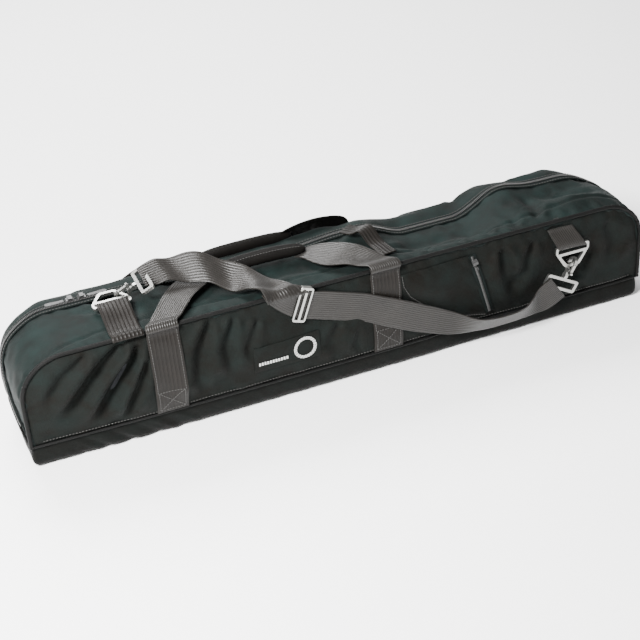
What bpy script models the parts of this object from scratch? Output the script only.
"""Long padded carry case for a telescope or a tripod.

The case lies on its base with its length along X, its front towards -Y and its base at Z = 0.
Its shell is one rounded form cut into panels. The lid turns about the top edge of the front
panel, and the zip follows a circle about that same edge, so the lid clears the ends as it opens.
All sizes are in metres.
"""

import math

import bmesh
import bpy
from mathutils import Vector

# Driving dimensions of the case
LENGTH = 1.04
DEPTH = 0.19
HEIGHT = 0.19
WALL = 0.010
GAP = 0.0003
BAND_TOP = 0.040
END_LENGTH = 0.070
END_CORNER = 0.070
BACK_CORNER = 0.055
BASE_CORNER = 0.012
EDGE_CORNER = 0.003
REAR_STRIP_BOTTOM = 0.135

# The lid's hinge line, just outside the front panel's top edge, and the zip's circle about it
HINGE_Y = -0.097
HINGE_Z = 0.1915
ZIP_RADIUS = 0.127
ZIP_TAPE_WIDTH = 0.012
ZIP_TAPE = 0.0012

# Padding and the base board
FOAM = 0.008
BOARD = 0.003
FOAM_HALF_LENGTH = 0.490

# Webbing
WEBBING = 0.050
WEB = 0.002
HANDLE_LEG_X = (-0.300, 0.060)
BACK_LEG_X = (-0.300, 0.060)

# Strap anchors and their hardware
WIRE = 0.0045
RING_WIDTH = 0.060
RING_FOOT = 0.026
RING_HEIGHT = 0.0405
BUCKLE_WIDTH = 0.064
BUCKLE_HEIGHT = 0.022
HOOK_LENGTH = 0.040

FRONT = -DEPTH / 2
BACK = DEPTH / 2
HALF = LENGTH / 2
FAR = 0.60


# ---------------------------------------------------------------- helpers

def clear_scene():
    for item in list(bpy.data.objects):
        bpy.data.objects.remove(item)


def make_material(name, color, roughness, metallic=0.0):
    material = bpy.data.materials.new(name)
    material.use_nodes = True
    shader = material.node_tree.nodes["Principled BSDF"]
    shader.inputs["Base Color"].default_value = (*color, 1.0)
    shader.inputs["Roughness"].default_value = roughness
    shader.inputs["Metallic"].default_value = metallic
    return material


def add_object(name, mesh, material=None):
    item = bpy.data.objects.new(name, mesh)
    bpy.context.scene.collection.objects.link(item)
    if material is not None:
        mesh.materials.append(material)
    return item


def to_space(axis, u, v, along):
    """A point of an outline drawn across an axis: (y, z) across X, (x, z) across Y, (x, y) across Z."""
    if axis == "X":
        return (along, u, v)
    if axis == "Y":
        return (u, along, v)
    return (u, v, along)


def prism(name, outline, axis, low, high, material=None):
    """A closed solid: an outline extruded along an axis from low to high."""
    shape = bmesh.new()
    bottom = [shape.verts.new(to_space(axis, u, v, low)) for u, v in outline]
    top = [shape.verts.new(to_space(axis, u, v, high)) for u, v in outline]
    shape.faces.new(bottom)
    shape.faces.new(top)
    count = len(outline)
    for i in range(count):
        j = (i + 1) % count
        shape.faces.new((bottom[i], bottom[j], top[j], top[i]))
    bmesh.ops.recalc_face_normals(shape, faces=shape.faces)
    mesh = bpy.data.meshes.new(name)
    shape.to_mesh(mesh)
    shape.free()
    return add_object(name, mesh, material)


def block(name, low, high, material=None):
    outline = rectangle(low[0], low[1], high[0], high[1])
    return prism(name, outline, "Z", low[2], high[2], material)


def rectangle(u0, v0, u1, v1):
    return [(u0, v0), (u1, v0), (u1, v1), (u0, v1)]


def arc(center, radius, start, end, steps):
    """Points on a circle from start to end, both in degrees."""
    points = []
    for i in range(steps + 1):
        angle = math.radians(start + (end - start) * i / steps)
        points.append((center[0] + radius * math.cos(angle), center[1] + radius * math.sin(angle)))
    return points


def rounded(corners, steps=4):
    """An outline with each corner (u, v, radius) rounded."""
    points = []
    count = len(corners)
    for i, (u, v, radius) in enumerate(corners):
        here = Vector((u, v))
        before = (Vector(corners[i - 1][:2]) - here).normalized()
        after = (Vector(corners[(i + 1) % count][:2]) - here).normalized()
        if radius == 0:
            points.append((u, v))
            continue
        half = before.angle(after) / 2
        reach = radius / math.tan(half)
        center = here + (before + after).normalized() * radius / math.sin(half)
        first = here + before * reach - center
        last = here + after * reach - center
        turn = math.atan2(first.x * last.y - first.y * last.x, first.dot(last))
        for k in range(steps + 1):
            angle = turn * k / steps
            x = first.x * math.cos(angle) - first.y * math.sin(angle)
            y = first.x * math.sin(angle) + first.y * math.cos(angle)
            points.append((center.x + x, center.y + y))
    return points


def ribbon(centers, widths):
    """The outline of a flat strap along a line of centres, with its width at each."""
    left, right = [], []
    for i, center in enumerate(centers):
        before = Vector(centers[max(i - 1, 0)])
        after = Vector(centers[min(i + 1, len(centers) - 1)])
        direction = (after - before).normalized()
        side = Vector((-direction.y, direction.x)) * widths[i] / 2
        left.append(tuple(Vector(center) + side))
        right.append(tuple(Vector(center) - side))
    return left + right[::-1]


def strip(name, stations, thickness, material):
    """A flat strap whose stations (x, y, z, width) lie in front of the case, its thickness along Y.

    Its corners stay under STRAP_CEILING, so the strap on the lid swings clear of it."""
    shape = bmesh.new()
    rings = []
    for i, (x, y, z, width) in enumerate(stations):
        before = stations[max(i - 1, 0)]
        after = stations[min(i + 1, len(stations) - 1)]
        direction = Vector((after[0] - before[0], after[2] - before[2])).normalized()
        side = Vector((-direction.y, direction.x)) * width / 2
        corners = [(x + side.x, y, min(z + side.y, STRAP_CEILING)), (x - side.x, y, z - side.y)]
        corners += [(cx, cy + thickness, cz) for cx, cy, cz in reversed(corners)]
        rings.append([shape.verts.new(corner) for corner in corners])
    shape.faces.new(rings[0])
    shape.faces.new(rings[-1])
    for ring, following in zip(rings, rings[1:]):
        for k in range(4):
            m = (k + 1) % 4
            shape.faces.new((ring[k], ring[m], following[m], following[k]))
    bmesh.ops.triangulate(shape, faces=shape.faces)
    bmesh.ops.recalc_face_normals(shape, faces=shape.faces)
    mesh = bpy.data.meshes.new(name)
    shape.to_mesh(mesh)
    shape.free()
    return add_object(name, mesh, material)


def use_boolean(target, other, operation):
    modifier = target.modifiers.new(operation.lower(), "BOOLEAN")
    modifier.operation = operation
    modifier.solver = "EXACT"
    modifier.object = other
    return target


def as_cutter(item):
    item.hide_render = True
    item.display_type = "WIRE"
    return item


# ---------------------------------------------------------------- the case's rounded form

def case_form(name, grow):
    """The whole outer form, grown by a distance: its side outline met with its cross-section."""
    side = rounded([
        (-HALF - grow, -grow, BASE_CORNER + grow),
        (HALF + grow, -grow, BASE_CORNER + grow),
        (HALF + grow, HEIGHT + grow, END_CORNER + grow),
        (-HALF - grow, HEIGHT + grow, END_CORNER + grow),
    ], 6)
    section = rounded([
        (FRONT - grow, -grow, BASE_CORNER + grow),
        (BACK + grow, -grow, BASE_CORNER + grow),
        (BACK + grow, HEIGHT + grow, BACK_CORNER + grow),
        (FRONT - grow, HEIGHT + grow, max(EDGE_CORNER + grow, 0)),
    ], 6)
    form = as_cutter(prism(name, side, "Y", -FAR, FAR))
    crossing = as_cutter(prism(name + "_section", section, "X", -FAR, FAR))
    return use_boolean(form, crossing, "INTERSECT")


def panel(name, outline, axis, low, high, outer, inner, material):
    """The part of the shell between two forms that lies in a region."""
    item = prism(name, outline, axis, low, high, material)
    use_boolean(item, outer, "INTERSECT")
    return use_boolean(item, inner, "DIFFERENCE")


def zip_sector(radius_in, radius_out):
    """A ring sector about the hinge line, from above the case to the tip of the lid's tongue."""
    center = (HINGE_Y, HINGE_Z)
    return arc(center, radius_out, -78, 20, 14) + arc(center, radius_in, 20, -78, 14)


def make_shell(materials):
    outer = case_form("outer_form", 0.0)
    inner = case_form("inner_form", -WALL)
    nylon = materials["nylon"]
    behind_front = FRONT + WALL + GAP

    block_low = (-FAR, -FAR, -0.01)
    base = block("base_panel", block_low, (FAR, FAR, BAND_TOP), nylon)
    use_boolean(base, outer, "INTERSECT")
    use_boolean(base, inner, "DIFFERENCE")

    above = BAND_TOP + GAP
    panel("front_panel", rectangle(-FAR, above, FAR, 0.25), "Y", -0.2, FRONT + WALL, outer, inner, nylon)

    middle = HALF - END_LENGTH
    panel("back_panel", rectangle(0.0, above, 0.2, REAR_STRIP_BOTTOM - GAP),
          "X", -middle, middle, outer, inner, nylon)
    strip_front = HINGE_Y + ZIP_RADIUS + GAP
    panel("rear_top_strip", rectangle(strip_front, REAR_STRIP_BOTTOM, 0.2, 0.25),
          "X", -middle, middle, outer, inner, materials["gusset"])

    center = (HINGE_Y, HINGE_Z)
    clear = ZIP_RADIUS + GAP
    low_angle = -math.degrees(math.acos((behind_front - HINGE_Y) / clear))
    top_angle = math.degrees(math.asin((0.25 - HINGE_Z) / clear))
    end_outline = [(behind_front, above), (0.2, above), (0.2, 0.25)]
    end_outline += arc(center, clear, top_angle, low_angle, 16)
    for name, sign in (("left_end_panel", -1), ("right_end_panel", 1)):
        low, high = sorted((sign * (middle + GAP), sign * FAR))
        panel(name, end_outline, "X", low, high, outer, inner, nylon)

    low_angle = -math.degrees(math.acos((behind_front - HINGE_Y) / ZIP_RADIUS))
    lid_outline = [(behind_front, HINGE_Z + 0.05)]
    lid_outline += arc(center, ZIP_RADIUS, 24, low_angle, 18)
    panel("lid_panel", lid_outline, "X", -FAR, FAR, outer, inner, materials["gusset"])

    tape_in = case_form("tape_inner_form", GAP)
    tape_out = case_form("tape_outer_form", GAP + ZIP_TAPE)
    lid_sector = zip_sector(ZIP_RADIUS - ZIP_TAPE_WIDTH, ZIP_RADIUS - GAP)
    body_sector = zip_sector(ZIP_RADIUS + GAP, ZIP_RADIUS + ZIP_TAPE_WIDTH)
    panel("lid_zip_tape", lid_sector, "X", -FAR, FAR, tape_out, tape_in, materials["tape"])
    panel("body_zip_tape", body_sector, "X", -FAR, FAR, tape_out, tape_in, materials["tape"])


# ---------------------------------------------------------------- padding inside

def make_padding(materials):
    foam = materials["foam"]
    inside_front = FRONT + WALL + GAP
    inside_back = BACK - WALL - GAP
    floor = WALL + GAP
    board_top = floor + BOARD
    pad_low = board_top + GAP
    pad_top = pad_low + FOAM
    half_depth = 0.070
    board_half = FOAM_HALF_LENGTH
    block("base_board", (-board_half, -half_depth, floor), (board_half, half_depth, board_top),
          materials["board"])
    block("base_foam", (-board_half, -half_depth, pad_low), (board_half, half_depth, pad_top), foam)

    side_low = pad_top + GAP
    front_outline = rounded([
        (-FOAM_HALF_LENGTH, side_low, 0), (FOAM_HALF_LENGTH, side_low, 0),
        (FOAM_HALF_LENGTH, 0.168, 0.055), (-FOAM_HALF_LENGTH, 0.168, 0.055),
    ])
    prism("front_foam", front_outline, "Y", inside_front, inside_front + FOAM, foam)
    prism("back_foam", rectangle(-FOAM_HALF_LENGTH, side_low, FOAM_HALF_LENGTH, 0.124),
          "Y", inside_back - FOAM, inside_back, foam)
    for name, sign in (("left_foam", -1), ("right_foam", 1)):
        low, high = sorted((sign * (HALF - WALL - 0.004), sign * (HALF - WALL - 0.004 - FOAM)))
        block(name, (low, -0.072, side_low), (high, 0.072, 0.110), foam)
    block("lid_foam", (-0.440, -0.074, 0.1715), (0.440, 0.020, HEIGHT - WALL - GAP), foam)


# ---------------------------------------------------------------- pocket and label on the front

POCKET_BOTTOM = 0.050
POCKET_TOP = 0.172
POCKET_ZIP_TOP = (0.212, 0.168)
POCKET_ZIP_BOTTOM = (0.240, 0.056)


def on_front(offset):
    """A depth in front of the front panel."""
    return FRONT - GAP - offset


def make_pocket(materials):
    pocket = rounded([
        (HANDLE_LEG_X[1] + WEBBING / 2 + 0.001, POCKET_BOTTOM, 0.004),
        (POCKET_ZIP_BOTTOM[0] - 0.008, POCKET_BOTTOM, 0.004),
        (POCKET_ZIP_TOP[0] - 0.008, POCKET_TOP, 0.004),
        (HANDLE_LEG_X[1] + WEBBING / 2 + 0.001, POCKET_TOP, 0.004),
    ], 2)
    prism("front_pocket_panel", pocket, "Y", on_front(WEB), on_front(0), materials["nylon"])
    tape = ribbon([POCKET_ZIP_BOTTOM, POCKET_ZIP_TOP], [0.012, 0.012])
    prism("pocket_zip_tape", tape, "Y", on_front(ZIP_TAPE), on_front(0), materials["tape"])
    label = rounded([(-0.150, 0.080, 0.002), (-0.090, 0.080, 0.002),
                     (-0.090, 0.104, 0.002), (-0.150, 0.104, 0.002)], 2)
    prism("name_label", label, "Y", on_front(0.001), on_front(0), materials["label"])


def slider_mesh(item_name, length, width, height, material):
    """A zip slider: a low body with a small bridge on it, drawn lying flat, its length along X."""
    half_l = length / 2
    half_w = width / 2
    body_top = height * 0.5
    post = length * 0.16
    slot_top = height * 0.76
    profile = [
        (-half_l, 0), (half_l, 0), (half_l, body_top * 0.7), (half_l * 0.8, body_top),
        (post, body_top), (post, slot_top), (half_l * 0.5, slot_top), (half_l * 0.4, height),
        (-half_l * 0.5, height), (-half_l * 0.5, slot_top), (-half_l * 0.8, body_top), (-half_l, body_top * 0.7),
    ]
    return prism(item_name, profile, "Y", -half_w, half_w, material)


def pull_mesh(item_name, length, width, thickness, material):
    """A pull tab with a rounded end, drawn flat from its hinge along +X."""
    half = width / 2
    outline = rounded([(0.0, -half * 0.6, 0.001), (length, -half, half * 0.9),
                       (length, half, half * 0.9), (0.0, half * 0.6, 0.001)], 3)
    return prism(item_name, outline, "Z", 0.0, thickness, material)


def make_sliders(materials):
    metal = materials["dark_metal"]
    tape_top = HEIGHT + 2 * GAP + ZIP_TAPE
    slider_y = HINGE_Y + ZIP_RADIUS + GAP + 0.0065
    for side, x, turn in (("left", -0.405, math.pi), ("right", -0.386, 0.0)):
        slider = slider_mesh("zip_slider_" + side, 0.014, 0.010, 0.0065, metal)
        slider.location = (x, slider_y, tape_top)
        slider.rotation_euler = (0, 0, turn)
        pull = pull_mesh("zip_pull_" + side, 0.030, 0.009, 0.0016, materials["pull"])
        pull.location = (x + math.cos(turn) * 0.0095, slider_y, tape_top + 0.0012)
        pull.rotation_euler = (0, 0, turn)

    top = Vector(POCKET_ZIP_TOP)
    bottom = Vector(POCKET_ZIP_BOTTOM)
    along = (bottom - top).normalized()
    place = top + along * 0.012
    slope = math.atan2(-along.y, along.x)
    slider = slider_mesh("pocket_zip_slider", 0.012, 0.009, 0.006, metal)
    slider.rotation_mode = "XYZ"
    slider.rotation_euler = (math.pi / 2, slope, 0)
    slider.location = (place.x, on_front(ZIP_TAPE) - GAP, place.y)
    hinge = place + along * 0.0085
    pull = pull_mesh("pocket_zip_pull", 0.034, 0.009, 0.0016, materials["pull"])
    pull.rotation_mode = "XYZ"
    pull.rotation_euler = (math.pi / 2, slope, 0)
    pull.location = (hinge.x, on_front(WEB) - 0.0012, hinge.y)


# ---------------------------------------------------------------- handles

FRONT_GRIP = (-0.182, -0.035)
FRONT_GRIP_HALF_WIDTH = 0.015
FRONT_GRIP_HEIGHT = 0.020
WRAP = (0.030, -0.060, 0.080, 0.012)
WRAP_THICKNESS = 0.003


def make_front_handle(materials):
    """Legs sewn on the front panel, and free arms and a grip that lie back over the lid."""
    web = materials["webbing"]
    half = WEBBING / 2
    leg_top = HEIGHT - 0.003
    for name, x in (("front_left_leg", HANDLE_LEG_X[0]), ("front_right_leg", HANDLE_LEG_X[1])):
        leg = rectangle(x - half, BAND_TOP + 0.002, x + half, leg_top)
        prism(name, leg, "Y", on_front(WEB), on_front(0), web)
    low = HINGE_Z - WEB / 2
    high = HINGE_Z + WEB / 2
    root = HINGE_Y + 0.001
    left_x, right_x = HANDLE_LEG_X
    grip_left, grip_right = FRONT_GRIP
    left_arm = [(left_x - half, root), (left_x + half, root), (grip_left, -0.018),
                (grip_left, 0.012), (grip_left - 0.043, 0.012)]
    right_arm = [(right_x - half, root), (right_x + half, root), (0.020, 0.004), (grip_right, 0.014),
                 (grip_right, -0.014)]
    prism("front_handle_left_arm", left_arm, "Z", low, high, web)
    prism("front_handle_right_arm", right_arm, "Z", low, high, web)
    wide, top = FRONT_GRIP_HALF_WIDTH, low + FRONT_GRIP_HEIGHT
    grip = rounded([(-wide, low, 0.003), (wide, low, 0.003), (wide, top, 0.009), (-wide, top, 0.009)], 3)
    prism("front_handle_grip", grip, "X", grip_left + GAP, grip_right - GAP, materials["grip"])
    prism("handle_wrap", rectangle(*WRAP), "Z", high + GAP, high + GAP + WRAP_THICKNESS, web)


BACK_HINGE_Y = 0.1000
BACK_HINGE_Z = 0.148
BACK_LEAN = math.radians(34)
BACK_REACH = 0.088
BACK_GRIP = (-0.190, -0.030)
BACK_GRIP_HEIGHT = 0.032
BACK_GRIP_HALF_DEPTH = 0.007


def make_back_handle(materials):
    """The same handle at the back: it stands up and leans over the rear strip."""
    web = materials["webbing"]
    half = WEBBING / 2
    back_face = BACK + GAP
    for name, x in (("back_left_leg", BACK_LEG_X[0]), ("back_right_leg", BACK_LEG_X[1])):
        leg = rectangle(x - half, BAND_TOP + 0.002, x + half, REAR_STRIP_BOTTOM - 0.003)
        prism(name, leg, "Y", back_face, back_face + WEB, web)
    left_x, right_x = BACK_LEG_X
    reach = BACK_REACH
    low = reach - BACK_GRIP_HEIGHT + 0.002
    grip_left, grip_right = BACK_GRIP
    left_arm = [(left_x - half, 0.001), (left_x + half, 0.001), (grip_left, low),
                (grip_left, reach), (grip_left - 0.045, reach)]
    right_arm = [(right_x - half, 0.001), (right_x + half, 0.001), (grip_right + 0.060, reach),
                 (grip_right, reach), (grip_right, low)]
    pieces = [
        prism("back_handle_left_arm", left_arm, "Y", -WEB / 2, WEB / 2, web),
        prism("back_handle_right_arm", right_arm, "Y", -WEB / 2, WEB / 2, web),
    ]
    bottom, top, deep = reach + 0.001 - BACK_GRIP_HEIGHT, reach + 0.001, BACK_GRIP_HALF_DEPTH
    grip = rounded([(-deep, bottom, 0.005), (deep, bottom, 0.005), (deep, top, 0.005), (-deep, top, 0.005)], 3)
    pieces.append(prism("back_handle_grip", grip, "X", grip_left + GAP, grip_right - GAP, materials["grip"]))
    for piece in pieces:
        piece.location = (0, BACK_HINGE_Y, BACK_HINGE_Z)
        piece.rotation_euler = (BACK_LEAN, 0, 0)


# ---------------------------------------------------------------- shoulder strap

STRAP = 0.0023
STRAP_Y = -0.1018
STRAP_Y_OVER_ZIP = -0.1085
STRAP_EDGE = (-0.128, 0.186)
STRAP_CEILING = HINGE_Z - 0.0040
STRAP_LOW = (0.120, 0.096)
GLIDE_ALONG = 0.052


def make_strap(materials):
    """The shoulder strap: one length on the front of the case and one on top of the lid."""
    web = materials["webbing"]
    stations = [
        (STRAP_EDGE[0], STRAP_Y, STRAP_EDGE[1], 0.030),
        (STRAP_EDGE[0] + 0.030, STRAP_Y, STRAP_EDGE[1] - 0.0109, WEBBING - 0.004),
        (STRAP_LOW[0], STRAP_Y, STRAP_LOW[1], WEBBING),
        (0.190, STRAP_Y_OVER_ZIP + 0.002, 0.074, 0.036),
        (0.235, STRAP_Y_OVER_ZIP, 0.063, 0.030),
        (0.300, STRAP_Y_OVER_ZIP, 0.057, 0.040),
        (0.334, STRAP_Y_OVER_ZIP, 0.064, WEBBING),
    ]
    strip("strap_front", stations, STRAP, web)

    low = HINGE_Z + WEB / 2 + GAP
    root = HINGE_Y + 0.001
    top = [(-0.262, -0.021), (-0.190, -0.034), (-0.153, root), (-0.100, root),
           (-0.110, -0.060), (-0.176, -0.019), (-0.262, -0.021 + WEBBING)]
    prism("strap_top", top, "Z", low, low + STRAP, web)


def make_glide(materials):
    """The tri-glide: a flat frame round the strap, with a middle bar in front of the webbing."""
    start = Vector(STRAP_EDGE)
    along = (Vector(STRAP_LOW) - start).normalized()
    center = start + along * GLIDE_ALONG
    glide = prism("tri_glide", rounded([
        (-0.0110, -0.030, 0.004), (0.0110, -0.030, 0.004), (0.0110, 0.030, 0.004), (-0.0110, 0.030, 0.004),
    ], 3), "Y", -0.0040, 0.0040, materials["metal"])
    tunnel = as_cutter(block("glide_tunnel", (-0.02, -0.0024, -0.0262), (0.02, 0.0024, 0.0262)))
    window_a = as_cutter(block("glide_window_a", (-0.0082, -0.01, -0.0262), (-0.0020, 0.0, 0.0262)))
    window_b = as_cutter(block("glide_window_b", (0.0020, -0.01, -0.0262), (0.0082, 0.0, 0.0262)))
    for cutter in (tunnel, window_a, window_b):
        use_boolean(glide, cutter, "DIFFERENCE")
    holder = bpy.data.objects.new("tri_glide_place", None)
    bpy.context.scene.collection.objects.link(holder)
    for item in (glide, tunnel, window_a, window_b):
        item.parent = holder
    holder.location = (center.x, STRAP_Y + STRAP / 2, center.y)
    holder.rotation_euler = (0, math.atan2(-along.y, along.x), 0)


# ---------------------------------------------------------------- strap anchors

def ring_outline(inset):
    """The cast ring's rounded triangle, hanging from its top bar, inset by a distance."""
    top = WIRE / 2 + 0.0003 - inset
    bottom = top - RING_HEIGHT + 2 * inset
    half_top = RING_WIDTH / 2 - inset
    half_foot = RING_FOOT / 2 - inset
    corner = max(0.008 - inset, 0.0025)
    return rounded([(-half_top, top, corner / 2), (-half_top, top - 0.012 + inset, corner),
                    (-half_foot, bottom, corner), (half_foot, bottom, corner),
                    (half_top, top - 0.012 + inset, corner), (half_top, top, corner / 2)], 3)


def make_ring(name, holder, material):
    ring = prism(name, ring_outline(0.0), "Y", -WIRE / 2, WIRE / 2, material)
    slot = rectangle(-0.0262, -0.0098, 0.0262, -0.0026)
    hole = rounded([(-0.0225, -0.0146, 0.002), (-0.0095, -0.0326, 0.002),
                    (0.0095, -0.0326, 0.002), (0.0225, -0.0146, 0.002)], 2)
    cutters = [
        as_cutter(prism(name + "_slot_cutter", slot, "Y", -0.01, 0.01)),
        as_cutter(prism(name + "_hole_cutter", hole, "Y", -0.01, 0.01)),
    ]
    for cutter in cutters:
        use_boolean(ring, cutter, "DIFFERENCE")
    for item in [ring] + cutters:
        item.parent = holder


def make_tab(name, holder, root, material):
    """The webbing tab: from its sewn root (y, z) to a loop round the ring's top bar."""
    loop = 0.0062
    outline = [(root[0] - 0.0011, root[1]), (root[0] + 0.0011, root[1])]
    outline += arc((0, 0), loop, 35, -215, 10)
    half = WEBBING / 2 - 0.0010
    tab = prism(name, outline, "X", -half, half, material)
    bore = as_cutter(prism(name + "_bore", arc((0, 0), 0.0039, 0, 330, 11), "X", -0.1, 0.1))
    use_boolean(tab, bore, "DIFFERENCE")
    tab.parent = holder
    bore.parent = holder


def make_snap(side, holder, metal):
    """Buckle frame, swivel, J-shaped hook and spring bolt, drawn up along +Z from the buckle."""
    half_w = BUCKLE_WIDTH / 2
    half_h = BUCKLE_HEIGHT / 2
    frame_outline = rounded([(-half_w, -half_h, 0.004), (half_w, -half_h, 0.004),
                             (half_w, half_h, 0.004), (-half_w, half_h, 0.004)], 3)
    frame = prism(side + "_buckle_frame", frame_outline, "Y", -WIRE / 2, WIRE / 2, metal)
    window = as_cutter(block(side + "_buckle_window", (-0.0265, -0.01, -half_h + 0.005),
                             (0.0265, 0.01, half_h - 0.005)))
    use_boolean(frame, window, "DIFFERENCE")

    post_low = half_h + GAP
    hook = [
        (-0.0035, post_low), (0.0035, post_low), (0.0045, post_low + 0.005), (0.0030, post_low + 0.009),
        (0.0030, post_low + 0.012), (0.0090, post_low + 0.018), (0.0108, post_low + 0.026),
        (0.0085, post_low + 0.035), (0.0000, post_low + HOOK_LENGTH), (-0.0085, post_low + 0.036),
        (-0.0108, post_low + 0.029), (-0.0068, post_low + 0.0285), (-0.0055, post_low + 0.033),
        (0.0000, post_low + 0.0355), (0.0050, post_low + 0.032), (0.0066, post_low + 0.026),
        (0.0050, post_low + 0.020), (0.0000, post_low + 0.0165), (-0.0030, post_low + 0.0160),
        (-0.0030, post_low + 0.009), (-0.0045, post_low + 0.005),
    ]
    snap = prism(side + "_snap_hook", hook, "X", -0.0030, 0.0030, metal)
    bolt = [
        (-0.0104, post_low + 0.0280), (-0.0072, post_low + 0.0280), (-0.0072, post_low + 0.0170),
        (-0.0050, post_low + 0.0140), (-0.0050, post_low + 0.0100), (-0.0104, post_low + 0.0100),
        (-0.0128, post_low + 0.0110), (-0.0128, post_low + 0.0140), (-0.0104, post_low + 0.0150),
    ]
    gate = prism(side + "_spring_bolt", bolt, "X", -0.0024, 0.0024, metal)
    for item in (frame, window, snap, gate):
        item.parent = holder


def add_holder(name, location, rotation):
    holder = bpy.data.objects.new(name, None)
    bpy.context.scene.collection.objects.link(holder)
    holder.location = location
    holder.rotation_euler = rotation
    return holder


RIGHT_RING = (0.385, -0.1085, 0.146)
RIGHT_HOOK_TILT = math.radians(30)
LEFT_RING = (-0.352, -0.022, 0.2030)
LEFT_HOOK_TILT = math.radians(25)
HOOK_REACH = BUCKLE_HEIGHT / 2 + GAP + 0.026


def make_anchors(materials):
    metal = materials["metal"]
    web = materials["webbing"]
    right_ring = add_holder("right_ring_place", RIGHT_RING, (0, 0, 0))
    make_ring("right_d_ring", right_ring, metal)
    tab_root = (FRONT - GAP - 0.0012 - RIGHT_RING[1], 0.034)
    make_tab("right_ring_tab", right_ring, tab_root, web)
    foot_z = RIGHT_RING[2] + WIRE / 2 - RING_HEIGHT + 0.003
    right_hook = add_holder("right_hook_place", (
        RIGHT_RING[0] - math.sin(RIGHT_HOOK_TILT) * HOOK_REACH,
        RIGHT_RING[1],
        foot_z - math.cos(RIGHT_HOOK_TILT) * HOOK_REACH,
    ), (0, RIGHT_HOOK_TILT, 0))
    make_snap("right", right_hook, metal)

    left_ring = add_holder("left_ring_place", LEFT_RING, (math.pi / 2, 0, 0))
    make_ring("left_d_ring", left_ring, metal)
    left_root = (HINGE_Z - LEFT_RING[2], LEFT_RING[1] - HINGE_Y - 0.001)
    make_tab("left_ring_tab", left_ring, left_root, web)
    side_bar_x = LEFT_RING[0] + RING_WIDTH / 2 - 0.0086
    side_bar_y = LEFT_RING[1] + 0.0205
    left_hook = add_holder("left_hook_place", (
        side_bar_x + math.cos(LEFT_HOOK_TILT) * HOOK_REACH,
        side_bar_y,
        LEFT_RING[2] + math.sin(LEFT_HOOK_TILT) * HOOK_REACH,
    ), (0, -math.pi / 2 - LEFT_HOOK_TILT, math.pi / 2))
    left_hook.rotation_mode = "ZYX"
    make_snap("left", left_hook, metal)


def main():
    clear_scene()
    materials = {
        "nylon": make_material("nylon", (0.030, 0.031, 0.029), 0.75),
        "gusset": make_material("gusset", (0.028, 0.036, 0.035), 0.70),
        "webbing": make_material("webbing", (0.055, 0.053, 0.050), 0.60),
        "grip": make_material("grip", (0.022, 0.022, 0.021), 0.80),
        "foam": make_material("foam", (0.060, 0.060, 0.062), 0.90),
        "board": make_material("board", (0.050, 0.048, 0.045), 0.70),
        "tape": make_material("zip_tape", (0.015, 0.015, 0.015), 0.80),
        "pull": make_material("zip_pull", (0.020, 0.020, 0.020), 0.60),
        "metal": make_material("nickel", (0.620, 0.610, 0.590), 0.25, 1.0),
        "dark_metal": make_material("dark_metal", (0.060, 0.060, 0.060), 0.40, 1.0),
        "label": make_material("label", (0.400, 0.400, 0.390), 0.70),
    }
    make_shell(materials)
    make_padding(materials)
    make_pocket(materials)
    make_sliders(materials)
    make_front_handle(materials)
    make_back_handle(materials)
    make_strap(materials)
    make_glide(materials)
    make_anchors(materials)
    bpy.context.view_layer.update()


main()
